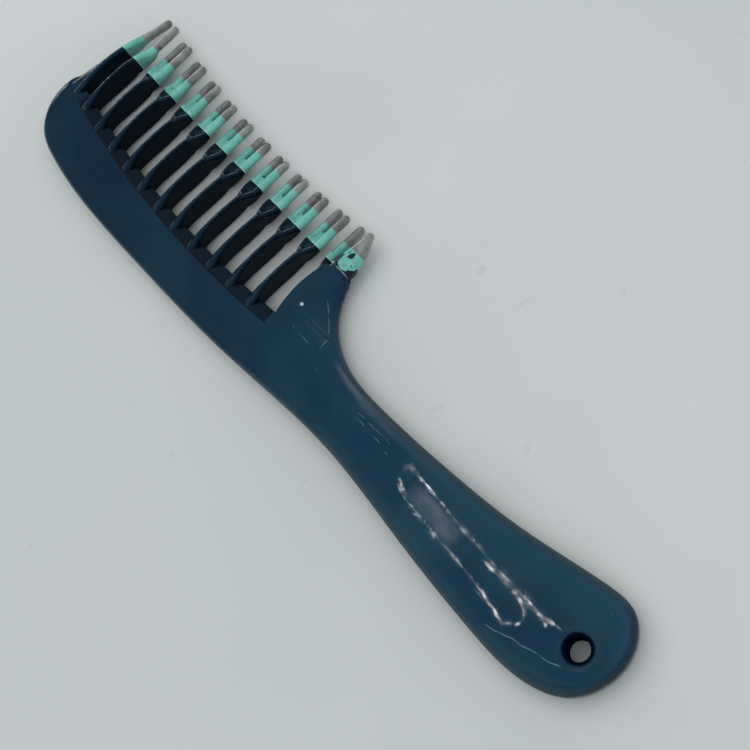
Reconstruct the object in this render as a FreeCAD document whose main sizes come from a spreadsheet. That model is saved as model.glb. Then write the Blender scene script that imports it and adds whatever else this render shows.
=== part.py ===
"""Handled double-row detangling comb: one moulding plus the paint films on its prongs.

Frame: origin on the axis of the hanging hole at mid-thickness, +X along the comb towards its head,
+Y towards the back of the spine (the teeth point to -Y), +Z up out of the face. Millimetres.
"""
import FreeCAD, Part
import Sketcher
import math
import os

PAIRS = 12
doc = FreeCAD.newDocument("detangling_comb")


# ---------------------------------------------------------------- driving dimensions
DIMENSIONS = (
    ("grip_half", 4.0, "half thickness of the grip"),
    ("spine_half", 2.75, "half thickness of the spine next to the neck"),
    ("head_half", 2.5, "half thickness at the far end of the head"),
    ("stock_half", 5.0, "half thickness of the blank before its faces are shaped"),
    ("taper_start", 55.0, "where the grip starts thinning towards the spine"),
    ("taper_end", 112.0, "where the spine thickness is reached"),
    ("edge_round", 2.1, "rounding of the long outer edges"),
    ("bore_radius", 2.6, "radius of the hanging hole"),
    ("bore_round", 0.9, "rounding of both rims of the hanging hole"),
    ("pair_pitch", 7.62, "distance between neighbouring pairs of prongs"),
    ("first_pair", 191.15, "distance from the hole to the pair at the head end"),
    ("root_top", 4.4, "highest point of the arc of tooth roots"),
    ("root_top_at", 141.0, "where along the comb that arc is highest"),
    ("root_arc", 290.0, "radius of the arc of tooth roots"),
    ("web_depth", 3.9, "depth of the bevelled web between two blades"),
    ("web_half", 0.8, "half thickness of the web at the bottom of a slot"),
    ("blade_crest", 3.65, "half depth of a blade at its deepest"),
    ("blade_root", 1.3, "half thickness of a blade at its root"),
    ("blade_thin", 0.6, "half thickness of a blade along its middle"),
    ("blade_lean", 1.1, "how far the root of a blade leans towards the grip"),
    ("fork_start", 17.0, "distance from the root to where a blade begins to split"),
    ("fork_end", 23.5, "distance from the root to where the two prongs are formed"),
    ("crotch", 26.4, "distance from the root to the bottom of the fork"),
    ("prong_radius", 1.06, "radius of a prong at the fork"),
    ("tip_radius", 0.98, "radius of the rounded end of a prong"),
    ("prong_end", 33.4, "distance from the root to the end of a prong"),
    ("row_height", 1.05, "height of a prong axis above or below mid-thickness"),
    ("row_shift", 1.85, "distance of a prong axis from the middle of its pair"),
    ("fork_offset", 0.4, "how far the middle of a pair stands towards the head from its blade"),
    ("guard_at", 197.0, "where along the comb the guard tooth stands"),
    ("guard_lean", 12.0, "angle by which the prong of the guard tooth leans inwards"),
    ("guard_prong_at", 201.4, "where the axis of the leaning prong would cross the origin line"),
    ("gusset_reach", 1.4, "how far the edge of the gusset stands towards the head from the last pair"),
    ("gusset_thin_from", 6.0, "distance from the hole axis to where the gusset starts thinning"),
    ("gusset_top", 2.3, "height of the face of the gusset at the paint edge"),
    ("gusset_bottom", 1.7, "depth of the underside of the gusset at the paint edge"),
    ("gusset_span", 20.0, "stretch of the comb over which the gusset is thinned"),
    ("paint_edge", 19.5, "distance from the hole axis to the edge of the teal paint"),
    ("silver_edge", 25.3, "distance from the hole axis to the edge of the silver paint"),
    ("film", 0.12, "thickness of a paint film"),
)

# Stations of the outer edge, from the head end round the back, the grip and the neck to the gusset
# of the last tooth: distance from the hanging hole towards the head, distance towards the back.
EDGE_STATIONS = (
    ("nose_low", 200.2, -6.5),
    ("nose", 201.4, -1.5),
    ("nose_high", 199.4, 6.3),
    ("head_corner", 195.2, 11.0),
    ("head_back", 186.5, 14.0),
    ("spine_back", 148.0, 15.9),
    ("spine_foot", 108.0, 14.2),
    ("waist_back", 72.0, 11.3),
    ("grip_back_rise", 45.0, 13.1),
    ("grip_back", 19.0, 14.4),
    ("end_back", 3.0, 13.1),
    ("end_corner_back", -5.4, 8.5),
    ("end_middle", -9.1, 0.0),
    ("end_corner_front", -7.3, -9.4),
    ("end_front", -1.8, -14.2),
    ("grip_front", 5.5, -14.0),
    ("grip_front_fall", 26.0, -9.2),
    ("waist_front_grip", 48.0, -6.0),
    ("waist_front", 70.0, -4.3),
    ("neck_curve", 84.0, -5.0),
    ("neck_corner", 92.6, -8.5),
    ("gusset_foot", 98.8, -15.2),
    ("gusset_side", 100.5, -18.6),
)

sheet = doc.addObject("Spreadsheet::Sheet", "dims")


def fill_sheet():
    """Write every driving dimension into the sheet, one aliased cell each."""
    cells = list(DIMENSIONS)
    for name, along, across in EDGE_STATIONS:
        cells.append((name + "_along", along, "station of the outer edge, along the comb"))
        cells.append((name + "_across", across, "station of the outer edge, across the comb"))
    for row, (alias, value, note) in enumerate(cells, start=1):
        sheet.set("A%d" % row, note)
        sheet.set("B%d" % row, str(value))
        sheet.setAlias("B%d" % row, alias)
    doc.recompute()


def value_of(expression):
    """Evaluate an expression over the sheet and return a plain number."""
    return float(sheet.evalExpression(expression))


def dim(alias):
    return value_of("dims." + alias)


# ---------------------------------------------------------------- sketch and feature helpers
def point(x, y, z=0.0):
    return FreeCAD.Vector(x, y, z)


def new_body(label):
    body = doc.addObject("PartDesign::Body", label)
    body.Label = label
    return body


def origin_part(body, role):
    """Return one of the body's own origin planes or axes."""
    for feature in body.Origin.OriginFeatures:
        if feature.Role == role:
            return feature
    raise ValueError("no origin feature " + role)


def new_sketch(body, name, plane, along_normal=None):
    """Add a sketch on an origin plane, shifted along the plane's normal by an expression."""
    sketch = body.newObject("Sketcher::SketchObject", name)
    sketch.AttachmentSupport = (origin_part(body, plane), [""])
    sketch.MapMode = "FlatFace"
    if along_normal is not None:
        sketch.setExpression("AttachmentOffset.Base.z", along_normal)
    return sketch


def bind(sketch, kind, references, expression):
    """Add a dimensional constraint whose value follows an expression over the sheet."""
    constraint = Sketcher.Constraint(kind, *references, value_of(expression))
    index = sketch.addConstraint(constraint)
    sketch.setExpression("Constraints[%d]" % index, expression)


def place_point(sketch, edge, end, along, across):
    """Hold one point of an edge at a place given by two expressions."""
    bind(sketch, "DistanceX", (-1, 1, edge, end), along)
    bind(sketch, "DistanceY", (-1, 1, edge, end), across)


def polygon(sketch, corners):
    """Draw a closed polygon whose corners are pairs of expressions."""
    places = [point(value_of(x), value_of(y)) for x, y in corners]
    count = len(places)
    for side in range(count):
        sketch.addGeometry(Part.LineSegment(places[side], places[(side + 1) % count]))
    for side in range(count):
        sketch.addConstraint(Sketcher.Constraint("Coincident", side, 2, (side + 1) % count, 1))
        place_point(sketch, side, 1, *corners[side])


def stadium(sketch, first, second, radius):
    """Draw two half circles joined by tangents; centres and radius are expressions."""
    near = point(*[value_of(text) for text in first])
    far = point(*[value_of(text) for text in second])
    size = value_of(radius)
    angle = math.atan2(far.y - near.y, far.x - near.x)
    quarter = math.pi / 2
    side = point(size * math.cos(angle + quarter), size * math.sin(angle + quarter))
    up = point(0, 0, 1)
    sketch.addGeometry(Part.ArcOfCircle(Part.Circle(near, up, size), angle + quarter, angle + 3 * quarter))
    sketch.addGeometry(Part.LineSegment(near - side, far - side))
    sketch.addGeometry(Part.ArcOfCircle(Part.Circle(far, up, size), angle - quarter, angle + quarter))
    sketch.addGeometry(Part.LineSegment(far + side, near + side))
    for edge in range(4):
        sketch.addConstraint(Sketcher.Constraint("Tangent", edge, 2, (edge + 1) % 4, 1))
    sketch.addConstraint(Sketcher.Constraint("Equal", 0, 2))
    bind(sketch, "Radius", (0,), radius)
    place_point(sketch, 0, 3, *first)
    place_point(sketch, 2, 3, *second)


def mirror_below(body, feature):
    """Repeat a feature on the underside of the comb."""
    mirrored = body.newObject("PartDesign::Mirrored", feature.Name + "_below")
    mirrored.Originals = [feature]
    mirrored.MirrorPlane = (origin_part(body, "XY_Plane"), [""])
    body.Tip = mirrored
    return mirrored


# ---------------------------------------------------------------- spine, neck and grip
def root_line(along):
    """Distance towards the back of the arc of tooth roots at a place along the comb."""
    reach = along - dim("root_top_at")
    radius = dim("root_arc")
    return dim("root_top") - radius + math.sqrt(radius ** 2 - reach ** 2)


def outline_sketch(body):
    """Plan outline: one smooth curve through the stations, closed along the bottoms of the slots."""
    sketch = new_sketch(body, "outline", "XY_Plane")
    stations = [point(dim(name + "_along"), dim(name + "_across")) for name, _, _ in EDGE_STATIONS]
    curve = Part.BSplineCurve()
    curve.interpolate(stations)
    last_pair = dim("first_pair") - (PAIRS - 1) * dim("pair_pitch")
    slot_right = dim("guard_at") - dim("row_shift")
    depth = dim("web_depth")
    slot_start = point(last_pair, root_line(last_pair) - depth)
    slot_top = point(dim("root_top_at"), dim("root_top") - depth)
    slot_end = point(slot_right, root_line(slot_right) - depth)
    gusset_corner = point(last_pair + dim("fork_offset"), stations[-1].y)
    gusset_bulge = point(last_pair + dim("gusset_reach"), (stations[-1].y + slot_start.y) / 2)
    sketch.addGeometry(curve)
    sketch.addGeometry(Part.LineSegment(stations[-1], gusset_corner))
    sketch.addGeometry(Part.Arc(gusset_corner, gusset_bulge, slot_start))
    sketch.addGeometry(Part.Arc(slot_start, slot_top, slot_end))
    sketch.addGeometry(Part.LineSegment(slot_end, stations[0]))
    return sketch, curve


def shape_face(body):
    """Cut the blank down to the long thickness profile: thick grip, thinner spine."""
    sketch = new_sketch(body, "thickness_profile", "XZ_Plane")
    beyond = dim("stock_half")
    tail, head = dim("end_middle_along") - beyond, dim("nose_along") + beyond
    start, finish = dim("taper_start"), dim("taper_end")
    middle = (start + finish) / 2
    grip, spine = dim("grip_half"), dim("spine_half")
    above = dim("stock_half") + 1.0
    taper = Part.BezierCurve()
    taper.setPoles([point(start, grip), point(middle, grip), point(middle, spine), point(finish, spine)])
    sketch.addGeometry(Part.LineSegment(point(tail, above), point(tail, grip)))
    sketch.addGeometry(Part.LineSegment(point(tail, grip), point(start, grip)))
    sketch.addGeometry(taper.toBSpline())
    sketch.addGeometry(Part.LineSegment(point(finish, spine), point(head, dim("head_half"))))
    sketch.addGeometry(Part.LineSegment(point(head, dim("head_half")), point(head, above)))
    sketch.addGeometry(Part.LineSegment(point(head, above), point(tail, above)))
    pocket = body.newObject("PartDesign::Pocket", "face")
    pocket.Profile = sketch
    pocket.Type = "ThroughAll"
    pocket.SideType = "Symmetric"
    mirror_below(body, pocket)


def thin_gusset(body):
    """Curve the face and the underside of the gusset down towards the last upper prong."""
    start, end = -dim("gusset_thin_from"), -dim("paint_edge")
    sides = (
        ("gusset_face", dim("spine_half"), dim("gusset_top"), dim("stock_half")),
        ("gusset_underside", -dim("spine_half"), -dim("gusset_bottom"), -dim("stock_half")),
    )
    for name, at_start, at_end, outside in sides:
        sketch = new_sketch(body, name + "_profile", "YZ_Plane", "dims.taper_end - dims.gusset_span")
        # a quarter of the drop at half way keeps the curve tangent to the face where it starts
        half_way = point((start + end) / 2, at_start + (at_end - at_start) / 4)
        sketch.addGeometry(Part.Arc(point(start, at_start), half_way, point(end, at_end)))
        sketch.addGeometry(Part.LineSegment(point(end, at_end), point(end, outside)))
        sketch.addGeometry(Part.LineSegment(point(end, outside), point(start, outside)))
        sketch.addGeometry(Part.LineSegment(point(start, outside), point(start, at_start)))
        pocket = body.newObject("PartDesign::Pocket", name)
        pocket.Profile = sketch
        pocket.Reversed = True
        pocket.setExpression("Length", "dims.gusset_span")


def round_outer_edges(body, curve):
    """Round the top and bottom edges that follow the outer curve."""
    doc.recompute()
    faced = body.Tip
    names = []
    for index, edge in enumerate(faced.Shape.Edges, start=1):
        first, last = edge.ParameterRange
        middle = edge.valueAt((first + last) / 2)
        if abs(middle.z) < dim("web_half"):
            continue
        near = curve.value(curve.parameter(point(middle.x, middle.y)))
        if near.distanceToPoint(point(middle.x, middle.y)) < 0.01 and abs(edge.tangentAt(first).z) < 0.9:
            names.append("Edge%d" % index)
    fillet = body.newObject("PartDesign::Fillet", "outer_rounding")
    fillet.Base = (faced, names)
    fillet.setExpression("Radius", "dims.edge_round")


def bevel_slots(body):
    """Bevel both faces down to the bottoms of the slots, along the arc of tooth roots."""
    sketch = new_sketch(body, "web_bevel", "YZ_Plane", "dims.root_top_at")
    root, foot = "dims.root_top", "dims.root_top - dims.web_depth"
    clear_of_slots = "dims.root_top - 2.5 * dims.web_depth"
    polygon(sketch, (
        (root, "dims.spine_half"),
        (foot, "dims.web_half"),
        (clear_of_slots, "dims.web_half"),
        (clear_of_slots, "dims.stock_half"),
        (root, "dims.stock_half"),
    ))
    centre = value_of("dims.root_top - dims.root_arc")
    axis = sketch.addGeometry(Part.LineSegment(point(centre, 0), point(centre, 1)), True)
    sketch.addConstraint(Sketcher.Constraint("Vertical", axis))
    groove = body.newObject("PartDesign::Groove", "web")
    groove.Profile = sketch
    groove.ReferenceAxis = (sketch, ["Axis0"])
    groove.Type = "TwoAngles"
    last_pair = "(dims.first_pair - %d * dims.pair_pitch)" % (PAIRS - 1)
    towards_head = "asin((dims.nose_along + dims.bore_round - dims.root_top_at) / dims.root_arc)"
    towards_grip = "asin((dims.root_top_at - %s) / dims.root_arc)" % last_pair
    groove.setExpression("Angle", towards_grip)
    groove.setExpression("Angle2", towards_head)
    return mirror_below(body, groove)


def drill_hanging_hole(body):
    """Through hole on the origin axis with rounded rims."""
    sketch = new_sketch(body, "hanging_hole", "XY_Plane")
    sketch.addGeometry(Part.Circle(point(0, 0), point(0, 0, 1), dim("bore_radius")))
    sketch.addConstraint(Sketcher.Constraint("Coincident", 0, 3, -1, 1))
    bind(sketch, "Radius", (0,), "dims.bore_radius")
    pocket = body.newObject("PartDesign::Pocket", "bore")
    pocket.Profile = sketch
    pocket.Type = "ThroughAll"
    pocket.SideType = "Symmetric"
    doc.recompute()
    rims = []
    for index, edge in enumerate(pocket.Shape.Edges, start=1):
        if hasattr(edge.Curve, "Radius") and abs(edge.Curve.Radius - dim("bore_radius")) < 0.001:
            rims.append("Edge%d" % index)
    fillet = body.newObject("PartDesign::Fillet", "bore_rims")
    fillet.Base = (pocket, rims)
    fillet.setExpression("Radius", "dims.bore_round")


def loft(body, name, sections):
    """Join stadium sections on planes across the teeth; a section is (distance, first, second, radius)."""
    sketches = []
    for number, (distance, first, second, radius) in enumerate(sections):
        sketch = new_sketch(body, "%s_section_%d" % (name, number), "XZ_Plane", distance)
        stadium(sketch, first, second, radius)
        sketches.append(sketch)
    feature = body.newObject("PartDesign::AdditiveLoft", name)
    feature.Profile = sketches[0]
    feature.Sections = sketches[1:]
    return feature


def prong(body, name, along, height, start, end, root_radius, tip_radius, lean="0"):
    """Turn one round prong with a ball end about an axis that points away from the spine."""
    sketch = new_sketch(body, name + "_profile", "XY_Plane", height)
    sketch.setExpression("AttachmentOffset.Base.x", along)
    sketch.setExpression("AttachmentOffset.Rotation.Angle", lean)
    top, bottom = -value_of(start), -value_of(end)
    wide, narrow = value_of(root_radius), value_of(tip_radius)
    shoulder = bottom + narrow
    sketch.addGeometry(Part.LineSegment(point(0, bottom), point(0, top)))
    sketch.addGeometry(Part.LineSegment(point(0, top), point(wide, top)))
    sketch.addGeometry(Part.LineSegment(point(wide, top), point(narrow, shoulder)))
    ball = Part.Circle(point(0, shoulder), point(0, 0, 1), narrow)
    sketch.addGeometry(Part.ArcOfCircle(ball, -math.pi / 2, 0))
    joints = ((0, 2, 1, 1), (1, 2, 2, 1), (2, 2, 3, 2), (3, 1, 0, 1))
    for joint in joints:
        sketch.addConstraint(Sketcher.Constraint("Coincident", *joint))
    sketch.addConstraint(Sketcher.Constraint("Vertical", 0))
    sketch.addConstraint(Sketcher.Constraint("Horizontal", 1))
    sketch.addConstraint(Sketcher.Constraint("PointOnObject", 3, 3, -2))
    sketch.addConstraint(Sketcher.Constraint("Horizontal", 3, 3, 3, 2))
    place_point(sketch, 0, 2, "0 * dims.film", "-(%s)" % start)
    bind(sketch, "DistanceX", (1, 1, 1, 2), root_radius)
    bind(sketch, "Radius", (3,), tip_radius)
    bind(sketch, "DistanceY", (-1, 1, 3, 3), "-(%s) + (%s)" % (end, tip_radius))
    turned = body.newObject("PartDesign::Revolution", name)
    turned.Profile = sketch
    turned.ReferenceAxis = (sketch, ["V_Axis"])
    turned.Angle = 360
    return turned


# ---------------------------------------------------------------- teeth
def grown(expression, growth):
    """Enlarge a size by the paint film when the same shape is wanted as a coat."""
    return "(%s) + (%s)" % (expression, growth)


def upright(distance, along, half_depth, radius, growth):
    """A blade section standing upright: as deep as stated, with round edges."""
    reach = "(%s) - (%s)" % (half_depth, radius)
    return distance, (along, reach), (along, "-(%s)" % reach), grown(radius, growth)


def fork_distance(share):
    """Distance from the root of a place between the start of the split and the bottom of the fork."""
    return "dims.fork_start + %s * (dims.crotch - dims.fork_start)" % share


def blade_sections(growth):
    """Sections of a blade: leaning root, then deep and thin, its crest sinking where it splits."""
    web = "dims.web_depth"
    crest = "dims.blade_crest"
    thin = "dims.blade_thin"
    lean = "dims.blade_lean"
    return (
        upright("-0.3", "-" + lean, "0.685 * " + crest, "dims.blade_root", growth),
        upright(web, "-0.15 * " + lean, "0.8 * " + crest, "0.88 * dims.blade_root", growth),
        upright("2 * " + web, "0.1 * " + lean, "0.94 * " + crest, "1.2 * " + thin, growth),
        upright("3.2 * " + web, "0.1 * " + lean, crest, thin, growth),
        upright("dims.fork_start", "0.1 * dims.fork_offset", "0.95 * " + crest, thin, growth),
        upright(fork_distance("0.20"), "0.1 * dims.fork_offset", "0.84 * " + crest, thin, growth),
        upright(fork_distance("0.36"), "0.1 * dims.fork_offset", "0.62 * " + crest, thin, growth),
    )


def splitting_sections(side, growth):
    """Half of a splitting blade: the upper half (side -1) ends as a prong on the grip side."""
    crest, size = "dims.blade_crest", "dims.prong_radius"
    stages = (
        # share of the way, share of the sideways shift, high end, low end, radius
        ("0", "0", "0.70 * " + crest, "0 * " + crest, "dims.blade_thin"),
        ("0.22", "0.27", "0.60 * " + crest, "-0.52 * " + crest, "0.68 * " + size),
        ("0.36", "0.47", "0.52 * " + crest, "-0.36 * " + crest, "0.88 * " + size),
        ("0.52", "0.76", "0.38 * " + crest, "-0.12 * " + crest, "0.95 * " + size),
        ("0.72", "1", "1.1 * dims.row_height", "0.7 * dims.row_height", size),
    )
    sections = []
    for share, shift, high, low, radius in stages:
        along = "(dims.fork_offset + %d * dims.row_shift) * %s" % (side, shift)
        ends = (along, "%d * (%s)" % (-side, high)), (along, "%d * (%s)" % (-side, low))
        sections.append((fork_distance(share), *ends, grown(radius, growth)))
    return sections


def saddle_sections(side, growth):
    """The web between the two prongs, one slope on the face (side -1) and one underneath."""
    crest, size = "dims.blade_crest", "dims.prong_radius"
    stages = (
        # share of the way, share of the sideways shift, height over its own prong, over the other, radius
        ("0.22", "0.27", "0.58 * " + crest, "0.42 * " + crest, "0.72 * " + size),
        ("0.36", "0.47", "0.45 * " + crest, "0.18 * " + crest, "1.0 * " + size),
        ("0.52", "0.76", "0.30 * " + crest, "0 * " + crest, "0.85 * " + size),
        ("0.76", "1", "dims.row_height", "-dims.row_height", "0.40 * " + size),
        ("1", "1", "dims.row_height", "-dims.row_height", "0.30 * " + size),
    )
    sections = []
    for share, shift, own, other, radius in stages:
        near = "(dims.fork_offset + %d * dims.row_shift) * %s" % (side, shift)
        far = "(dims.fork_offset - %d * dims.row_shift) * %s" % (side, shift)
        ends = (near, "%d * (%s)" % (-side, own)), (far, "%d * (%s)" % (-side, other))
        sections.append((fork_distance(share), *ends, grown(radius, growth)))
    return sections


def row_prong(body, label, side, growth, start="dims.fork_end"):
    """A standard round prong of the upper row (side -1) or of the lower row (side 1)."""
    along = "dims.fork_offset + %d * dims.row_shift" % side
    height = "%d * dims.row_height" % -side
    prong(body, label, along, height, start, grown("dims.prong_end", growth),
          grown("dims.prong_radius", growth), grown("dims.tip_radius", growth))


def tooth_body(label, growth="0"):
    """One blade that splits into an upper and a lower prong, its root on the local X axis."""
    body = new_body(label)
    loft(body, label + "_blade", blade_sections(growth))
    for side, row in ((-1, "upper"), (1, "lower")):
        loft(body, "%s_%s_half" % (label, row), splitting_sections(side, growth))
        loft(body, "%s_%s_saddle" % (label, row), saddle_sections(side, growth))
        row_prong(body, "%s_%s_prong" % (label, row), side, growth)
    return body


def first_blade_body(label, growth="0"):
    """The blade at the head end: it carries an upper prong only."""
    body = new_body(label)
    loft(body, label + "_blade", blade_sections(growth))
    crest, size = "dims.blade_crest", "dims.prong_radius"
    prong_at = "(dims.fork_offset - dims.row_shift)"
    stages = (
        # share of the way, high end, low end, share of the sideways shift at both ends, radius
        ("0", "0.70 * " + crest, "-0.70 * " + crest, "0", "0", "dims.blade_thin"),
        ("0.25", "0.62 * " + crest, "-0.60 * " + crest, "0.22", "0.14", "0.78 * " + size),
        ("0.48", "0.50 * " + crest, "-0.40 * " + crest, "0.58", "0.47", "0.93 * " + size),
        ("0.70", "0.36 * " + crest, "-0.10 * " + crest, "0.92", "0.87", size),
        ("0.90", "1.05 * dims.row_height", "0.95 * dims.row_height", "1", "1", size),
    )
    bend = []
    for share, high, low, high_shift, low_shift, radius in stages:
        ends = (prong_at + " * " + high_shift, high), (prong_at + " * " + low_shift, low)
        bend.append((fork_distance(share), *ends, grown(radius, growth)))
    loft(body, label + "_bend", bend)
    row_prong(body, label + "_prong", -1, growth, fork_distance("0.88"))
    return body


def last_prong_body(label, growth="0"):
    """The lower prong of the last pair, which grows out of the side of the gusset."""
    body = new_body(label)
    loft(body, label + "_half", splitting_sections(1, growth))
    row_prong(body, label + "_prong", 1, growth)
    return body


def guard_body(label, growth="0"):
    """The thick outermost tooth: a rib along the nose of the head, ending in a leaning lower prong."""
    body = new_body(label)
    crest, thick = "dims.blade_crest", "dims.prong_radius"
    low, middle = "-dims.row_height", "0 * " + crest
    blade = (
        upright("0", "-1.0", "0.60 * " + crest, thick, growth),
        upright("0.2 * dims.silver_edge", "-0.35", "0.73 * " + crest, "0.88 * " + thick, growth),
        upright("0.48 * dims.silver_edge", "-0.2", "0.86 * " + crest, "0.72 * " + thick, growth),
        upright("dims.paint_edge - 2", "-0.6", "0.80 * " + crest, "0.72 * " + thick, growth),
        ("dims.paint_edge + 1.5", ("-0.9", "0.38 * " + crest), ("-0.85", "-0.55 * " + crest),
         grown("0.78 * " + thick, growth)),
        ("dims.paint_edge + 5", ("-1.05", "-0.05 * " + crest), ("-1.1", "-0.36 * " + crest),
         grown("0.92 * " + thick, growth)),
        ("dims.paint_edge + 8", ("-1.3", low), ("-1.35", "1.1 * " + low), grown(thick, growth)),
    )
    loft(body, label + "_blade", blade)
    rib = (
        ("0.02 * dims.silver_edge", ("0.4", middle), ("1.9", middle), grown("2.15 * " + thick, growth)),
        ("0.18 * dims.silver_edge", ("0.6", middle), ("1.75", middle), grown("1.75 * " + thick, growth)),
        ("0.34 * dims.silver_edge", ("0.6", middle), ("1.75", middle), grown("1.25 * " + thick, growth)),
        ("0.6 * dims.silver_edge", ("0.05", middle), ("1.0", "-0.1 * " + crest), grown(thick, growth)),
        ("dims.paint_edge + 1.5", ("-0.65", "-0.1 * " + crest), ("-0.15", low),
         grown("0.9 * " + thick, growth)),
        ("dims.paint_edge + 8", ("-1.3", low), ("-1.25", low), grown("0.95 * " + thick, growth)),
    )
    loft(body, label + "_rib", rib)
    prong(body, label + "_prong", "dims.guard_prong_at - dims.guard_at", low, "dims.crotch",
          grown("dims.prong_end + 0.9", growth), grown(thick, growth), grown("dims.tip_radius", growth),
          "-dims.guard_lean")
    return body


def gusset_tip_body(label, growth="0"):
    """The end of the gusset: its sloping plate drawn in to the last upper prong."""
    body = new_body(label)
    sections = (
        # distance past the paint edge, edge towards the grip, edge towards the teeth, height, radius
        ("-3.5", "-5.8", "-1.2", "0.1", "2.3"),
        ("0", "-4.6", "-1.5", "0.3", "2.05"),
        ("4", "-3.95", "-1.8", "0.6", "1.7"),
        ("7.7", "-3.2", "-1.85", "0.8", "1.3"),
        ("10.8", "-2.0", "-1.8", "dims.row_height", "0.93 * dims.tip_radius"),
    )
    plate = []
    for distance, grip_side, teeth_side, height, radius in sections:
        ends = (grip_side, height), (teeth_side, height)
        plate.append(("dims.paint_edge + " + distance, *ends, grown(radius, growth)))
    loft(body, label + "_plate", plate)
    prong(body, label + "_prong", "-1.85", "dims.row_height", "dims.silver_edge + 3.7",
          grown("dims.silver_edge + 6", growth), grown("dims.tip_radius", growth),
          grown("dims.tip_radius", growth))
    return body


# ---------------------------------------------------------------- assembly
def spine_body(label):
    """Grip, neck and spine with the webs between the teeth and the hanging hole."""
    body = new_body(label)
    sketch, curve = outline_sketch(body)
    blank = body.newObject("PartDesign::Pad", "blank")
    blank.Profile = sketch
    blank.SideType = "Symmetric"
    blank.setExpression("Length", "2 * dims.stock_half")
    doc.recompute()
    shape_face(body)
    round_outer_edges(body, curve)
    thin_gusset(body)
    doc.recompute()
    bevel_slots(body)
    drill_hanging_hole(body)
    doc.recompute()
    return body


def placed(body, along, across):
    """A copy of a body's shape moved to its place on the comb."""
    shape = body.Shape.copy()
    shape.translate(point(along, across))
    return shape


def teeth_of_pair(number, forms):
    """Shapes that carry the two prongs of a pair, counted from the head end."""
    along = dim("first_pair") - (number - 1) * dim("pair_pitch")
    across = root_line(along)
    if number == 1:
        return [placed(forms["first_blade"], along, across), placed(forms["guard"], dim("guard_at"), 0)]
    if number == PAIRS:
        return [placed(forms["last_prong"], along, across), placed(forms["gusset_tip"], along, 0)]
    return [placed(forms["tooth"], along, across)]


def fused(shapes):
    return shapes[0].multiFuse(shapes[1:]) if len(shapes) > 1 else shapes[0]


def slab(from_across, to_across):
    """A box across all the teeth between two distances from the hole axis."""
    room = 2 * dim("stock_half")
    length = dim("guard_at") + room
    box = Part.makeBox(length, to_across - from_across, room)
    box.translate(point(0, -to_across, -room / 2))
    return box


def paint_film(coats, teeth, from_across, to_across):
    """The film that lies on the teeth of one pair between two distances from the hole axis."""
    return fused(coats).common(slab(from_across, to_across)).cut(teeth)


def add_feature(label, shape):
    """Keep a finished sub-part; its shape is united and cut in code from placed copies of the bodies."""
    feature = doc.addObject("Part::Feature", label)
    feature.Label = label
    feature.Shape = shape
    feature.Placement = FreeCAD.Placement()
    return feature


def check_document(nodes):
    """Stop when any object failed to compute or any sub-part is empty or faulty."""
    for item in doc.Objects:
        if "Invalid" in item.State or "Error" in item.State:
            raise RuntimeError("object failed: " + item.Label)
    for node in nodes:
        if node.Shape.isNull() or not node.Shape.isValid() or not node.Shape.Solids:
            raise RuntimeError("faulty shape: " + node.Label)


def build():
    """Build every sub-part and write one STEP file for each."""
    fill_sheet()
    spine = spine_body("spine_and_grip")
    makers = {
        "tooth": tooth_body,
        "first_blade": first_blade_body,
        "last_prong": last_prong_body,
        "guard": guard_body,
        "gusset_tip": gusset_tip_body,
    }
    bare = {name: make(name) for name, make in makers.items()}
    coats = {name: make(name + "_coat", "dims.film") for name, make in makers.items()}
    doc.recompute()
    pairs = range(1, PAIRS + 1)
    teeth = {number: fused(teeth_of_pair(number, bare)) for number in pairs}
    nodes = [add_feature("comb_moulding", spine.Shape.multiFuse(list(teeth.values())))]
    paint_edge, silver_edge = dim("paint_edge"), dim("silver_edge")
    beyond = silver_edge + dim("prong_end")
    for number in pairs:
        coat = teeth_of_pair(number, coats)
        band = paint_film(coat, teeth[number], paint_edge, silver_edge)
        tips = paint_film(coat, teeth[number], silver_edge, beyond)
        nodes.append(add_feature("teal_band_pair_%02d" % number, band))
        nodes.append(add_feature("silver_tips_pair_%02d" % number, tips))
    doc.recompute()
    check_document(nodes)
    os.makedirs("parts", exist_ok=True)
    for node in nodes:
        node.Shape.exportStep("parts/%s.step" % node.Label)
        print(node.Label, len(node.Shape.Solids), round(node.Shape.Volume, 2))


build()
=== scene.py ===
"""Studio picture of the double-row detangling comb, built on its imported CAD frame.

Everything is in metres in the row frame: the hanging hole is the origin, +X runs to the head, +Y to
the back of the spine and +Z up out of the upper face.
"""
import bpy
import math
from mathutils import Matrix, Vector


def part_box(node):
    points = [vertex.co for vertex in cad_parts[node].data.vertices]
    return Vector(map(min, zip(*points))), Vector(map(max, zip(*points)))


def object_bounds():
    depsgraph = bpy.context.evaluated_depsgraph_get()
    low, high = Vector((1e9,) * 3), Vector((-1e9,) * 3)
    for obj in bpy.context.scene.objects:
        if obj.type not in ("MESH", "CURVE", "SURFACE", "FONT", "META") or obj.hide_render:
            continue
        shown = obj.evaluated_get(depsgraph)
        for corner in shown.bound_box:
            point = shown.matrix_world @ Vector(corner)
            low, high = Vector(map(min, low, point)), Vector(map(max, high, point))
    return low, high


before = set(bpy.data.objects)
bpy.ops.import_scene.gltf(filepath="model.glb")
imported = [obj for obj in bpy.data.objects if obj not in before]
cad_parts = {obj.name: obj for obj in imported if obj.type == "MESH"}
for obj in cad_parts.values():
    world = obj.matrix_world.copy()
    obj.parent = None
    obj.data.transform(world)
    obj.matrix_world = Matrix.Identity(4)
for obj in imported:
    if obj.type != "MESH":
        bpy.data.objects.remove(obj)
cad_low, cad_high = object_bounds()

MM = 0.001
# Places along the comb: the end of the plain grip, and where the looks of the grip have faded out.
GRIP_END = 72 * MM
GRIP_FADED = 84 * MM
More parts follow.
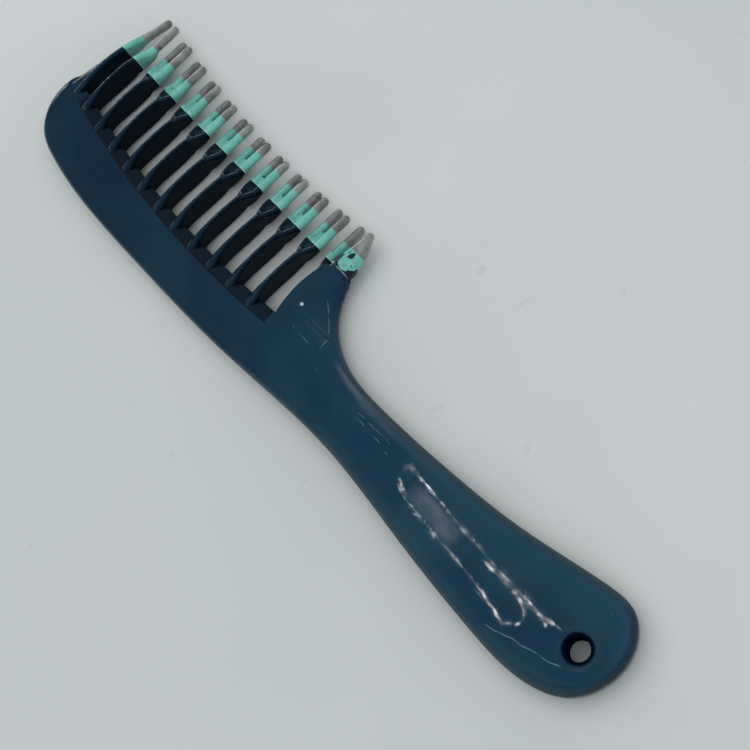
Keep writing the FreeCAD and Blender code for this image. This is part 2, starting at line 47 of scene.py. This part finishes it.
# The stretch that carries the blades, and the gusset that ends it towards the grip.
BLADES_START = 107 * MM
BLADES_END = 192 * MM
GUSSET_END = 106 * MM
GUSSET_START = 104 * MM
# Across the comb: the roots of the blades and the edge of the teal paint.
ROOT_LINE = 5.0 * MM
paint_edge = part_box("teal_band_pair_06")[1].y

scene = bpy.context.scene
scene.view_settings.view_transform = "Standard"


# ---------------------------------------------------------------- node helpers
def new_material(name):
    """An empty node material with an output node."""
    material = bpy.data.materials.new(name)
    material.use_nodes = True
    tree = material.node_tree
    tree.nodes.clear()
    return material, tree, tree.nodes.new("ShaderNodeOutputMaterial")


def feed(tree, socket, value):
    """Link a node socket, or set a plain value, on an input."""
    if isinstance(value, bpy.types.NodeSocket):
        tree.links.new(value, socket)
    else:
        socket.default_value = value


def node(tree, kind, **inputs):
    """Add a node; inputs are named by their socket names with spaces as underscores."""
    made = tree.nodes.new(kind)
    for name, value in inputs.items():
        feed(tree, made.inputs[name.replace("_", " ")], value)
    return made


def maths(tree, operation, first, second=0.0):
    """One sum on two numbers."""
    made = tree.nodes.new("ShaderNodeMath")
    made.operation = operation
    feed(tree, made.inputs[0], first)
    feed(tree, made.inputs[1], second)
    return made.outputs[0]


def remap(tree, value, low, high, out_low=0.0, out_high=1.0):
    """Smoothly carry a value from one range to another, clamped."""
    made = tree.nodes.new("ShaderNodeMapRange")
    made.interpolation_type = "SMOOTHSTEP"
    for socket, number in zip(made.inputs[:5], (value, low, high, out_low, out_high)):
        feed(tree, socket, number)
    return made.outputs[0]


def mix_colour(tree, factor, first, second, blend="MIX"):
    """Blend two colours by a mask."""
    made = tree.nodes.new("ShaderNodeMix")
    made.data_type = "RGBA"
    made.blend_type = blend
    feed(tree, made.inputs["Factor"], factor)
    feed(tree, made.inputs["A"], first)
    feed(tree, made.inputs["B"], second)
    return made.outputs["Result"]


def place(tree, stretch=(1.0, 1.0, 1.0), turn=0.0, shift=(0.0, 0.0, 0.0)):
    """Row-frame position of the shaded point, turned about Z and stretched."""
    where = tree.nodes.new("ShaderNodeTexCoord").outputs["Object"]
    rotation = (0, 0, turn)
    mapping = node(tree, "ShaderNodeMapping", Vector=where, Scale=stretch, Location=shift, Rotation=rotation)
    return mapping.outputs["Vector"]


def noise(tree, spots_per_m, detail=3.0, roughness=0.55, vector=None):
    """Fractal noise over the row-frame position, or over a stretched one."""
    made = node(tree, "ShaderNodeTexNoise", Scale=spots_per_m, Detail=detail, Roughness=roughness)
    feed(tree, made.inputs["Vector"], vector or place(tree))
    return made.outputs["Fac"]


def bump(tree, height, depth, normal=None):
    """Raise the surface by a height field whose full range is the given depth in metres."""
    made = node(tree, "ShaderNodeBump", Height=height, Distance=depth, Strength=1.0)
    if normal is not None:
        feed(tree, made.inputs["Normal"], normal)
    return made.outputs["Normal"]


# ---------------------------------------------------------------- materials
def coordinate(tree, axis):
    """One row-frame coordinate of the shaded point, in metres."""
    where = tree.nodes.new("ShaderNodeTexCoord").outputs["Object"]
    return node(tree, "ShaderNodeSeparateXYZ", Vector=where).outputs[axis]


def facing(tree, axis):
    """One component of the surface direction."""
    outward = tree.nodes.new("ShaderNodeNewGeometry").outputs["True Normal"]
    return node(tree, "ShaderNodeSeparateXYZ", Vector=outward).outputs[axis]


def times(tree, *factors):
    """Product of any number of masks."""
    result = factors[0]
    for factor in factors[1:]:
        result = maths(tree, "MULTIPLY", result, factor)
    return result


def band(tree, value, low, high, soft):
    """One between two values, fading to zero outside them."""
    rise = remap(tree, value, low - soft, low)
    fall = remap(tree, value, high, high + soft, 1.0, 0.0)
    return times(tree, rise, fall)


def scratch_and_highlight_line(tree, start, end, width, wander):
    """A hairline on the face between two places, wavering sideways: the scratch, and the painted highlight
    lines.
    """
    run = Vector(end) - Vector(start)
    turn = math.atan2(run.y, run.x)
    from_start = place(tree, shift=(-start[0], -start[1], 0))
    turned = node(tree, "ShaderNodeMapping", Vector=from_start, Rotation=(0, 0, -turn)).outputs["Vector"]
    split = node(tree, "ShaderNodeSeparateXYZ", Vector=turned)
    drift = maths(tree, "MULTIPLY", maths(tree, "SUBTRACT", noise(tree, 130, 3), 0.5), wander)
    sideways = maths(tree, "ABSOLUTE", maths(tree, "ADD", split.outputs["Y"], drift))
    line = remap(tree, sideways, width, 0.35 * width)
    extent = band(tree, split.outputs["X"], 0.0, run.length, 1.5 * MM)
    broken = remap(tree, noise(tree, 300, 2), 0.36, 0.5, 0.25, 1.0)
    return times(tree, line, extent, broken)


def spot(tree, centre, radius):
    """A small mark with a ragged edge at one place on the face."""
    where = place(tree, shift=(-centre[0], -centre[1], 0))
    split = node(tree, "ShaderNodeSeparateXYZ", Vector=where)
    squares = [times(tree, split.outputs[axis], split.outputs[axis]) for axis in "XY"]
    distance = maths(tree, "SQRT", maths(tree, "ADD", *squares))
    ragged = maths(tree, "MULTIPLY", maths(tree, "SUBTRACT", noise(tree, 900, 2), 0.5), 1.6 * radius)
    return remap(tree, maths(tree, "ADD", distance, ragged), radius, 0.6 * radius)


def edge_mask(tree, rounded):
    """Where a rounded direction differs from the true one, that is along the edges."""
    flat = tree.nodes.new("ShaderNodeNewGeometry").outputs["Normal"]
    align = node(tree, "ShaderNodeVectorMath")
    align.operation = "DOT_PRODUCT"
    feed(tree, align.inputs[0], rounded)
    feed(tree, align.inputs[1], flat)
    return remap(tree, align.outputs["Value"], 0.985, 0.90)


# Marks on the face, in millimetres along and across the comb.
LONG_SCRATCH = ((16.3, 10.8), (0.8, 5.3))
PALE_CHIP = (104.1, -7.3)
PIT = (60.5, 3.9)
SCRATCH_WIDTH = 0.16
CHIP_RADIUS = 0.55
PIT_RADIUS = 0.45
# Painted highlights at the neck, fine bright lines standing in for reflections: start, end and width.
PAINTED_NECK_HIGHLIGHTS = (
    ((63.0, 0.0), (74.5, 0.4), 0.16),
    ((61.0, 1.9), (72.0, 1.5), 0.12),
    ((93.4, -7.4), (99.2, -11.7), 0.16),
    ((92.1, -3.2), (92.3, -6.4), 0.16),
    ((93.2, -2.0), (103.4, -2.0), 0.12),
)
# Distances from the axis of the hanging hole between which its painted shade fades out.
BORE_DARK = 3.3 * MM
BORE_CLEAR = 3.9 * MM
# Depths of the moulding's relief.
SWELL_DEPTH = 0.025 * MM
RIPPLE_DEPTH = 0.0055 * MM
PEEL_DEPTH = 0.0007 * MM
SCRATCH_DEPTH = 0.02 * MM
PIT_DEPTH = 0.12 * MM
# Roundings that the shading gives to edges of the grip, the gusset and the rest.
GRIP_ROUNDING = 4.0 * MM
GUSSET_ROUNDING = 2.4 * MM
EDGE_ROUNDING = 0.03 * MM
# Linear colours of the moulding, of what lies on it, and of the painted shade and highlights on it.
DEEP_PETROL = (0.0020, 0.0165, 0.038, 1)
PALE_PETROL = (0.0040, 0.0235, 0.046, 1)
GRIP_TINT = (3.0, 2.2, 1.8, 1)
PAINTED_SHADE = (0.0003, 0.002, 0.006, 1)
RUBBED = (0.030, 0.060, 0.078, 1)
SCRATCHED = (0.16, 0.20, 0.22, 1)
PAINTED_HIGHLIGHT = (0.20, 0.26, 0.28, 1)
DUST = (0.25, 0.27, 0.27, 1)
CHIPPED = (0.55, 0.58, 0.58, 1)
PAINTED_BORDER_SHADE = (0.0015, 0.011, 0.022, 1)
PAINTED_BORDER_HIGHLIGHT = (0.040, 0.105, 0.150, 1)
PAINTED_BORE_SHADE = (0.0005, 0.003, 0.010, 1)


def in_metres(place_mm):
    """A place on the face from millimetres to metres."""
    return tuple(value * MM for value in place_mm)


def moulding_colour(tree, along):
    """Petrol blue, paler towards the grip, with painted shade, nearly black, where the blades shelter one
    another.
    """
    cloud = remap(tree, noise(tree, 38, 3), 0.38, 0.62)
    colour = mix_colour(tree, cloud, DEEP_PETROL, PALE_PETROL)
    towards_grip = remap(tree, along, 170 * MM, 45 * MM, 0.1, 0.8)
    colour = mix_colour(tree, towards_grip, colour, GRIP_TINT, "MULTIPLY")
    # Painted shade: the colour darkens where ambient occlusion finds close neighbours.
    shelter = node(tree, "ShaderNodeAmbientOcclusion", Distance=5 * MM)
    painted_shade_amount = remap(tree, shelter.outputs["AO"], 0.92, 0.45, 0.0, 0.9)
    return mix_colour(tree, painted_shade_amount, colour, PAINTED_SHADE)


def painted_blade_shade(tree, along):
    """Painted shade on the bevelled web and the slopes of the blades, which lie deep between their
    neighbours.
    """
    sloping = remap(tree, facing(tree, "Z"), 0.985, 0.90)
    beside_teeth = remap(tree, coordinate(tree, "Y"), ROOT_LINE + 1.5 * MM, ROOT_LINE)
    on_teeth = band(tree, along, BLADES_START, BLADES_END, 3 * MM)
    return times(tree, sloping, beside_teeth, on_teeth, 0.72)


def rubbed_edges(tree):
    """Patchy wear along the sharp edges that don't face up."""
    crisp_edge = node(tree, "ShaderNodeBevel", Radius=0.3 * MM).outputs["Normal"]
    patchy = remap(tree, noise(tree, 420, 4), 0.45, 0.62)
    sideways = remap(tree, facing(tree, "Z"), 0.75, 0.5)
    return times(tree, edge_mask(tree, crisp_edge), patchy, sideways, 0.5)


def painted_neck_lines(tree):
    """All the painted highlight lines at the neck as one mask."""
    highlight_lines = 0.0
    for start, end, width in PAINTED_NECK_HIGHLIGHTS:
        line = scratch_and_highlight_line(tree, in_metres(start), in_metres(end), width * MM, 2.2 * MM)
        highlight_lines = maths(tree, "MAXIMUM", highlight_lines, line)
    return times(tree, highlight_lines, remap(tree, noise(tree, 520, 3), 0.42, 0.58))


def bore_mask(tree):
    """The wall and the rounded rims of the hanging hole, which get painted shade and mirror less."""
    from_axis = tree.nodes.new("ShaderNodeVectorMath")
    from_axis.operation = "LENGTH"
    feed(tree, from_axis.inputs[0], place(tree, (1, 1, 0)))
    return remap(tree, from_axis.outputs["Value"], BORE_CLEAR, BORE_DARK)


def painted_border_light(tree, colour, soft_edge, on_grip):
    """The wide rounded border of the grip: a painted highlight line where it starts, painted shade beyond.
    """
    upright = node(tree, "ShaderNodeSeparateXYZ", Vector=soft_edge).outputs["Z"]
    painted_border_mask = times(tree, remap(tree, upright, 0.93, 0.75), on_grip, 0.6)
    colour = mix_colour(tree, painted_border_mask, colour, PAINTED_BORDER_SHADE)
    painted_border_line = times(tree, band(tree, upright, 0.955, 0.985, 0.008), on_grip, 0.5)
    return mix_colour(tree, painted_border_line, colour, PAINTED_BORDER_HIGHLIGHT)


def moulding_relief(tree, soft_edge, marks, pit):
    """Sink swells, ripples and fine peel, with the scratch and the pit cut in."""
    swell = noise(tree, 34, 1, 0.3, place(tree, (0.75, 1, 1)))
    ripple = noise(tree, 190, 3, 0.5, place(tree, (0.5, 1, 1)))
    peel = noise(tree, 700, 2)
    normal = bump(tree, swell, SWELL_DEPTH, soft_edge)
    normal = bump(tree, ripple, RIPPLE_DEPTH, normal)
    normal = bump(tree, peel, PEEL_DEPTH, normal)
    normal = bump(tree, marks, -SCRATCH_DEPTH, normal)
    return bump(tree, pit, -PIT_DEPTH, normal)


def softened_edges(tree, along):
    """Surface direction with a wide rounding on the grip, a middling one on the gusset, else crisp."""
    on_grip = remap(tree, along, GRIP_FADED, GRIP_END, 0.0, GRIP_ROUNDING)
    on_gusset = remap(tree, along, GUSSET_END, GUSSET_START, EDGE_ROUNDING, GUSSET_ROUNDING)
    radius = maths(tree, "MAXIMUM", on_grip, on_gusset)
    return node(tree, "ShaderNodeBevel", Radius=radius).outputs["Normal"]


def marks_dust_and_painted_highlights(tree, colour, on_face, scratched):
    """The scratch, the painted highlights at the neck, the dust and the pale chip over the colour of the
    face.
    """
    colour = mix_colour(tree, times(tree, scratched, 0.75), colour, SCRATCHED)
    # Painted highlights: fine bright lines at the neck.
    colour = mix_colour(tree, times(tree, painted_neck_lines(tree), on_face, 0.5), colour, PAINTED_HIGHLIGHT)
    dust = times(tree, remap(tree, noise(tree, 1150, 1), 0.78, 0.82), on_face)
    colour = mix_colour(tree, times(tree, dust, 0.22), colour, DUST)
    pale_chip = times(tree, spot(tree, in_metres(PALE_CHIP), CHIP_RADIUS * MM), on_face)
    return mix_colour(tree, times(tree, pale_chip, 0.85), colour, CHIPPED)


def moulding_haze(tree, along, worn):
    """Roughness: a clear gloss on the grip, duller on worn edges and along the blades."""
    haze = remap(tree, noise(tree, 90, 5), 0.35, 0.7, 0.016, 0.026)
    haze = maths(tree, "ADD", haze, times(tree, worn, 0.5))
    towards_head = remap(tree, along, GUSSET_START, GUSSET_START + 12 * MM)
    return maths(tree, "ADD", haze, times(tree, towards_head, 0.06))


def moulding_mirror(tree, in_bore):
    """Specular level: the flanks of the blades face each other and mirror little, like the bore."""
    upward = maths(tree, "ABSOLUTE", facing(tree, "Z"))
    mirror = remap(tree, upward, 0.25, 0.8, 0.06, 0.5)
    return maths(tree, "SUBTRACT", mirror, times(tree, in_bore, 0.42))


def petrol_plastic():
    """Glossy dark petrol-blue moulding with sink ripples, a hairline scratch and rubbed edges, plus painted
    shade and painted highlights.
    """
    material, tree, output = new_material("petrol_blue_plastic")
    along = coordinate(tree, "X")
    colour = moulding_colour(tree, along)
    # Painted shade on the web and the slopes of the blades.
    colour = mix_colour(tree, painted_blade_shade(tree, along), colour, PAINTED_SHADE)
    on_face = remap(tree, facing(tree, "Z"), 0.90, 0.98)
    on_grip = remap(tree, along, GRIP_FADED, GRIP_END)
    soft_edge = softened_edges(tree, along)
    worn = rubbed_edges(tree)
    colour = mix_colour(tree, worn, colour, RUBBED)
    start, end = LONG_SCRATCH
    line = scratch_and_highlight_line(tree, in_metres(start), in_metres(end), SCRATCH_WIDTH * MM, 2.6 * MM)
    scratched = times(tree, line, on_face)
    colour = marks_dust_and_painted_highlights(tree, colour, on_face, scratched)
    pit = times(tree, spot(tree, in_metres(PIT), PIT_RADIUS * MM), on_face)
    in_bore = bore_mask(tree)
    # Painted shade and a painted highlight line on the rounded border of the grip.
    colour = painted_border_light(tree, colour, soft_edge, on_grip)
    # Painted shade in the hanging hole.
    colour = mix_colour(tree, in_bore, colour, PAINTED_BORE_SHADE)
    normal = moulding_relief(tree, soft_edge, scratched, pit)
    haze = moulding_haze(tree, along, worn)
    mirror = moulding_mirror(tree, in_bore)
    surface = node(tree, "ShaderNodeBsdfPrincipled", Base_Color=colour, Roughness=haze, Normal=normal,
                   IOR=1.47, Specular_IOR_Level=mirror)
    tree.links.new(surface.outputs[0], output.inputs["Surface"])
    return material


# Linear colours of the two paints (darker and paler), of the plastic under them, which also serves as
# painted shade, and of the paint's rim.
TEAL = ((0.120, 0.40, 0.350, 1), (0.170, 0.49, 0.425, 1))
SILVER = ((0.22, 0.225, 0.22, 1), (0.38, 0.385, 0.38, 1))
BARE_AND_PAINTED_SHADE = (0.003, 0.012, 0.020, 1)
PALE_RIM = (0.75, 0.85, 0.83, 1)
# Where paint has worn off: the stretch of chipped tips and how far out they chip, and the gusset prong.
CHIPPED_FROM = 122 * MM
CHIPPED_TO = 166 * MM
CHIPPED_TIP = -27.0 * MM
GUSSET_PRONG = 108.4 * MM
PAINT_RELIEF = 0.022 * MM
CHIP_DEPTH = 0.05 * MM


def paint_colour(tree, darker, paler, height):
    """Cloudy, streaked paint, with painted shade in creases and on the lower row."""
    cloud = remap(tree, noise(tree, 260, 4), 0.35, 0.65)
    colour = mix_colour(tree, cloud, darker, paler)
    streak = remap(tree, noise(tree, 700, 3, 0.6, place(tree, (1, 0.22, 1))), 0.35, 0.75, 0.0, 0.35)
    colour = mix_colour(tree, streak, colour, darker)
    # Painted shade in the creases between the prongs.
    shelter = node(tree, "ShaderNodeAmbientOcclusion", Distance=1.3 * MM)
    painted_crease_shade = remap(tree, shelter.outputs["AO"], 0.62, 0.15, 0.0, 0.8)
    colour = mix_colour(tree, painted_crease_shade, colour, BARE_AND_PAINTED_SHADE)
    # Painted shade on the lower row.
    painted_lower_row_shade = remap(tree, height, 0.4 * MM, -0.4 * MM, 0.0, 0.22)
    return mix_colour(tree, painted_lower_row_shade, colour, BARE_AND_PAINTED_SHADE)


def rubbed_line(tree, height):
    """The rubbed line along the head side of the lower row."""
    on_side = remap(tree, facing(tree, "X"), 0.72, 0.88)
    below = remap(tree, height, 0.2 * MM, -0.4 * MM)
    patchy = remap(tree, noise(tree, 500, 3), 0.41, 0.49)
    return times(tree, on_side, below, patchy)


def chipped_tips(tree, along, across, height):
    """Chips on the ends of the upper row, in the middle of the comb."""
    middle = band(tree, along, CHIPPED_FROM, CHIPPED_TO, 3 * MM)
    at_end = remap(tree, across, CHIPPED_TIP, CHIPPED_TIP - 0.8 * MM)
    head_side = remap(tree, facing(tree, "X"), 0.15, 0.5)
    above = remap(tree, height, 0.5 * MM, 0.9 * MM)
    ragged = remap(tree, noise(tree, 380, 2), 0.36, 0.42)
    return times(tree, middle, at_end, head_side, above, ragged)


def bald_patches(tree, along, across, height, chip_share):
    """Everywhere the paint is gone; the gusset prong beside the grip has lost the most."""
    specks = remap(tree, noise(tree, 1100, 2), 0.68, 0.71)
    gusset_prong = remap(tree, along, GUSSET_PRONG, GUSSET_PRONG - 0.8 * MM)
    flaking = remap(tree, noise(tree, 330, 2, 0.4), 0.60 - chip_share, 0.615 - chip_share)
    bald = maths(tree, "MAXIMUM", specks, rubbed_line(tree, height))
    bald = maths(tree, "MAXIMUM", bald, chipped_tips(tree, along, across, height))
    return maths(tree, "MAXIMUM", bald, times(tree, gusset_prong, flaking))


def pale_rim(tree, across):
    """The thick pale line that the dip left at the edge of the teal paint."""
    at_edge = band(tree, across, paint_edge - 0.2 * MM, paint_edge + 0.1 * MM, 0.1 * MM)
    return times(tree, at_edge, remap(tree, noise(tree, 400), 0.4, 0.6), 0.3)


def paint(name, colours, roughness, metal, chip_share):
    """Dipped paint: uneven coverage, painted shade in creases and on the lower row, a pale rim, and bald
    patches that show the dark plastic.
    """
    material, tree, output = new_material(name)
    along, across, height = (coordinate(tree, axis) for axis in "XYZ")
    colour = paint_colour(tree, *colours, height)
    bald = bald_patches(tree, along, across, height, chip_share)
    colour = mix_colour(tree, bald, colour, BARE_AND_PAINTED_SHADE)
    colour = mix_colour(tree, pale_rim(tree, across), colour, PALE_RIM)
    normal = bump(tree, noise(tree, 420, 3), PAINT_RELIEF)
    normal = bump(tree, bald, -CHIP_DEPTH, normal)
    shine = maths(tree, "MULTIPLY", maths(tree, "SUBTRACT", 1.0, bald), metal)
    surface = node(tree, "ShaderNodeBsdfPrincipled", Base_Color=colour, Roughness=roughness, Metallic=shine,
                   Normal=normal)
    tree.links.new(surface.outputs[0], output.inputs["Surface"])
    return material


# ---------------------------------------------------------------- smooth shading
SHARP_ANGLE = 22


def smooth_by_angle(limit):
    """A geometry-node group that shades smooth except across edges sharper than the limit."""
    group = bpy.data.node_groups.new("smooth_by_angle", "GeometryNodeTree")
    group.interface.new_socket("Geometry", in_out="INPUT", socket_type="NodeSocketGeometry")
    group.interface.new_socket("Geometry", in_out="OUTPUT", socket_type="NodeSocketGeometry")
    entry = group.nodes.new("NodeGroupInput")
    leave = group.nodes.new("NodeGroupOutput")
    angle = group.nodes.new("GeometryNodeInputMeshEdgeAngle")
    sharp = group.nodes.new("FunctionNodeCompare")
    sharp.operation = "LESS_EQUAL"
    group.links.new(angle.outputs["Unsigned Angle"], sharp.inputs["A"])
    sharp.inputs["B"].default_value = limit
    faces = group.nodes.new("GeometryNodeSetShadeSmooth")
    faces.domain = "FACE"
    edges = group.nodes.new("GeometryNodeSetShadeSmooth")
    edges.domain = "EDGE"
    group.links.new(entry.outputs[0], faces.inputs["Geometry"])
    group.links.new(faces.outputs[0], edges.inputs["Geometry"])
    group.links.new(sharp.outputs["Result"], edges.inputs["Shade Smooth"])
    group.links.new(edges.outputs[0], leave.inputs[0])
    return group


def dress_nodes():
    """Give every CAD node its material and smooth shading."""
    plastic = petrol_plastic()
    teal = paint("teal_paint", TEAL, roughness=0.36, metal=0.0, chip_share=0.02)
    silver = paint("silver_paint", SILVER, roughness=0.30, metal=0.45, chip_share=0.03)
    shading = smooth_by_angle(math.radians(SHARP_ANGLE))
    for name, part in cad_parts.items():
        chosen = plastic
        if name.startswith("teal_band"):
            chosen = teal
        elif name.startswith("silver_tips"):
            chosen = silver
        for slot in part.material_slots:
            slot.material = chosen
        part.modifiers.new("smooth_by_angle", "NODES").node_group = shading


# ---------------------------------------------------------------- studio
FLOOR_DARKER = (0.54, 0.565, 0.565, 1)
FLOOR_PALER = (0.60, 0.62, 0.62, 1)
FLOOR_STAIN = (0.25, 0.26, 0.26, 1)
FLOOR_HALF = 3.0
FLOOR_GAP = 0.05 * MM


def floor_material():
    """Pale matt sheet with a faint cloudiness and a few stains."""
    material, tree, output = new_material("floor_sheet")
    cloud = remap(tree, noise(tree, 6, 3), 0.3, 0.7)
    colour = mix_colour(tree, cloud, FLOOR_DARKER, FLOOR_PALER)
    stains = remap(tree, noise(tree, 210, 2, 0.5, place(tree, (1, 0.45, 1), 0.6)), 0.70, 0.78)
    colour = mix_colour(tree, times(tree, stains, 0.16), colour, FLOOR_STAIN)
    normal = bump(tree, noise(tree, 60, 3), 0.15 * MM)
    surface = node(tree, "ShaderNodeBsdfPrincipled", Base_Color=colour, Roughness=0.7, Normal=normal)
    tree.links.new(surface.outputs[0], output.inputs["Surface"])
    return material


def flat_sheet(name, half_x, half_y, material):
    """A mesh of one rectangle about its own origin."""
    corners = [(-half_x, -half_y, 0), (half_x, -half_y, 0), (half_x, half_y, 0), (-half_x, half_y, 0)]
    mesh = bpy.data.meshes.new(name)
    mesh.from_pydata(corners, [], [(0, 1, 2, 3)])
    mesh.materials.append(material)
    return mesh


def floor():
    """Lay the sheet just under the comb."""
    sheet = bpy.data.objects.new("floor", flat_sheet("floor", FLOOR_HALF, FLOOR_HALF, floor_material()))
    sheet.location.z = cad_low.z - FLOOR_GAP
    scene.collection.objects.link(sheet)


# The camera stands over a point past the end of the grip. It leans from straight down by its tilt.
# Two directions in the picture, clockwise from its right: where straight down lies, and where +X runs.
CAMERA_TILT = math.radians(23.068)
NADIR_TURN = math.radians(48.0)
HEADING = math.radians(226.893)
CAMERA_HEIGHT = 305.2 * MM
CAMERA_FOOT = (-49.5 * MM, -5.8 * MM)
LENS = 67.2
SENSOR = 36.0


def camera_axes():
    """Row-frame directions of the picture's right, down and forward."""
    lean = math.sin(CAMERA_TILT)
    down = Vector((lean * math.cos(NADIR_TURN), lean * math.sin(NADIR_TURN), math.cos(CAMERA_TILT)))
    heading = Vector((math.cos(HEADING), math.sin(HEADING), 0))
    along = (heading - down * heading.dot(down)).normalized()
    up = -down
    across = up.cross(along)
    return [Vector((along[i], across[i], up[i])) for i in range(3)]


def add_camera():
    """Put the camera over its foot, turned to the picture's axes."""
    right, picture_down, forward = camera_axes()
    data = bpy.data.cameras.new("camera")
    data.lens = LENS
    data.sensor_width = SENSOR
    data.clip_start = 0.01
    camera = bpy.data.objects.new("camera", data)
    turn = Matrix((right, -picture_down, -forward)).transposed().to_4x4()
    camera.matrix_world = Matrix.Translation((*CAMERA_FOOT, cad_low.z + CAMERA_HEIGHT)) @ turn
    scene.collection.objects.link(camera)
    scene.camera = camera


def soft_light(name, position, size, radiance, colour=(1, 1, 1)):
    """A large square light aimed at the comb that lights surfaces but isn't mirrored in them."""
    data = bpy.data.lights.new(name, "AREA")
    data.size = size
    data.energy = radiance * size * size * math.pi
    data.color = colour
    lamp = bpy.data.objects.new(name, data)
    target = (cad_low + cad_high) / 2
    lamp.location = target + Vector(position)
    lamp.rotation_euler = Vector(position).to_track_quat("Z", "Y").to_euler()
    lamp.visible_glossy = False
    scene.collection.objects.link(lamp)


def mirrored_pane(name, centre, size, strength, tilt=0.0):
    """A soft-edged lit pane, turned about Y, that only shows as a reflection."""
    material, tree, output = new_material(name)
    across = tree.nodes.new("ShaderNodeTexCoord").outputs["Generated"]
    split = node(tree, "ShaderNodeSeparateXYZ", Vector=across)
    fades = []
    for axis in "XY":
        from_middle = maths(tree, "ABSOLUTE", maths(tree, "SUBTRACT", split.outputs[axis], 0.5))
        fades.append(remap(tree, from_middle, 0.5, 0.2))
    patchy = remap(tree, noise(tree, 40, 3), 0.35, 0.6, 0.5, 1.0)
    glow = node(tree, "ShaderNodeEmission", Strength=times(tree, *fades, patchy, strength))
    tree.links.new(glow.outputs[0], output.inputs["Surface"])
    hang(name, flat_sheet(name, size[0] / 2, size[1] / 2, material), centre, tilt)


# Courses of the bright lines mirrored in the face of the grip, in millimetres along and across it.
MIRRORED_LINES = {
    "front_line": ((57.0, 0.0), (47.5, 0.2), (36.0, 0.8), (26.5, 0.9), (11.9, 1.1), (5.3, 0.0)),
    "back_line": ((55.0, 3.6), (50.0, 5.6), (40.0, 6.3), (31.9, 6.5), (23.2, 6.9), (14.8, 7.8)),
    "tail_loop": ((15.8, 7.9), (12.6, 5.6), (14.0, 2.8), (21.0, 1.8), (27.0, 2.2)),
    "tail_branch": ((14.5, 2.6), (12.0, 1.4), (8.0, 2.0)),
}
LINE_WIDTH = 1.1 * MM
LINE_STRENGTH = 42
# The soft patch mirrored between those lines: the middle of it on the grip, and its size up there.
PATCH_MIDDLE = (42.5, 3.4)
PATCH_SIZE = (85 * MM, 26 * MM)
# Height above the hanging hole at which these lights hang.
CEILING = 1000 * MM


def mirrored_place(along, across):
    """Ceiling point that the camera sees mirrored at a place on the face of the grip, in millimetres."""
    face = cad_high.z
    ratio = (CEILING - face) / (cad_low.z + CAMERA_HEIGHT - face)
    seen = Vector((along * MM, across * MM))
    return seen + ratio * (seen - Vector(CAMERA_FOOT))


def smooth_path(stops, steps=10):
    """A smooth course through a few points (Catmull-Rom)."""
    padded = [stops[0], *stops, stops[-1]]
    path = []
    for before, start, end, after in zip(padded, padded[1:], padded[2:], padded[3:]):
        for step in range(steps):
            t = step / steps
            bend = 2 * before - 5 * start + 4 * end - after
            twist = 3 * start - before - 3 * end + after
            path.append(0.5 * (2 * start + (end - before) * t + bend * t ** 2 + twist * t ** 3))
    path.append(stops[-1])
    return path


def mirrored_line(name, places, width, strength):
    """A thin broken strip of light overhead that shows as a bright line in the gloss of the grip."""
    path = smooth_path([mirrored_place(*where) for where in places])
    corners = []
    for index, where in enumerate(path):
        course = path[min(index + 1, len(path) - 1)] - path[max(index - 1, 0)]
        sideways = Vector((-course.y, course.x)).normalized() * width / 2
        corners.extend(((*(where - sideways), 0), (*(where + sideways), 0)))
    faces = [(2 * i, 2 * i + 1, 2 * i + 3, 2 * i + 2) for i in range(len(path) - 1)]
    material, tree, output = new_material(name)
    broken = remap(tree, noise(tree, 110, 4, 0.65), 0.44, 0.64, 0.05, 1.0)
    glow = node(tree, "ShaderNodeEmission", Strength=maths(tree, "MULTIPLY", broken, strength))
    tree.links.new(glow.outputs[0], output.inputs["Surface"])
    mesh = bpy.data.meshes.new(name)
    mesh.from_pydata(corners, [], faces)
    mesh.materials.append(material)
    hang(name, mesh, (0, 0, CEILING))


def hang(name, mesh, position, tilt=0.0):
    """Put an emitter in the room so that only reflections show it."""
    emitter = bpy.data.objects.new(name, mesh)
    emitter.location = position
    emitter.rotation_euler = (0, tilt, 0)
    for kind in ("camera", "diffuse", "shadow", "transmission", "volume_scatter"):
        setattr(emitter, "visible_" + kind, False)
    scene.collection.objects.link(emitter)


# Strength of the room's light on matt surfaces, and of the room as the gloss mirrors it.
DAYLIGHT = 0.62
MIRRORED_ROOM = 0.16


def room():
    """Pale even daylight for matt surfaces; a dimmer room for what the gloss mirrors."""
    world = bpy.data.worlds.new("room")
    world.use_nodes = True
    tree = world.node_tree
    background = tree.nodes["Background"]
    mirrored = tree.nodes.new("ShaderNodeLightPath").outputs["Is Glossy Ray"]
    strength = tree.nodes.new("ShaderNodeMix")
    feed(tree, strength.inputs["Factor"], mirrored)
    feed(tree, strength.inputs["A"], DAYLIGHT)
    feed(tree, strength.inputs["B"], MIRRORED_ROOM)
    tree.links.new(strength.outputs["Result"], background.inputs["Strength"])
    background.inputs["Color"].default_value = (0.93, 0.98, 1.0, 1)
    scene.world = world


def lights():
    """Overhead daylight, stronger from the head side, plus the windows the grip mirrors."""
    room()
    soft_light("sky_head_side", (0.45, 0.10, 0.9), size=0.9, radiance=1.0, colour=(1.0, 0.99, 0.97))
    soft_light("sky_overhead", (-0.15, 0.0, 1.1), size=1.2, radiance=0.75)
    for name, places in MIRRORED_LINES.items():
        mirrored_line(name, places, LINE_WIDTH, LINE_STRENGTH)
    mirrored_pane("grip_pane", (*mirrored_place(*PATCH_MIDDLE), CEILING), PATCH_SIZE, strength=1.9)
    mirrored_pane("side_pane", (0.73, -0.61, CEILING), (0.5, 0.5), strength=6.0)
    mirrored_pane("head_pane", (1.1, -0.09, 0.33), (0.45, 0.6), strength=4.0, tilt=math.radians(90))


dress_nodes()
floor()
add_camera()
lights()
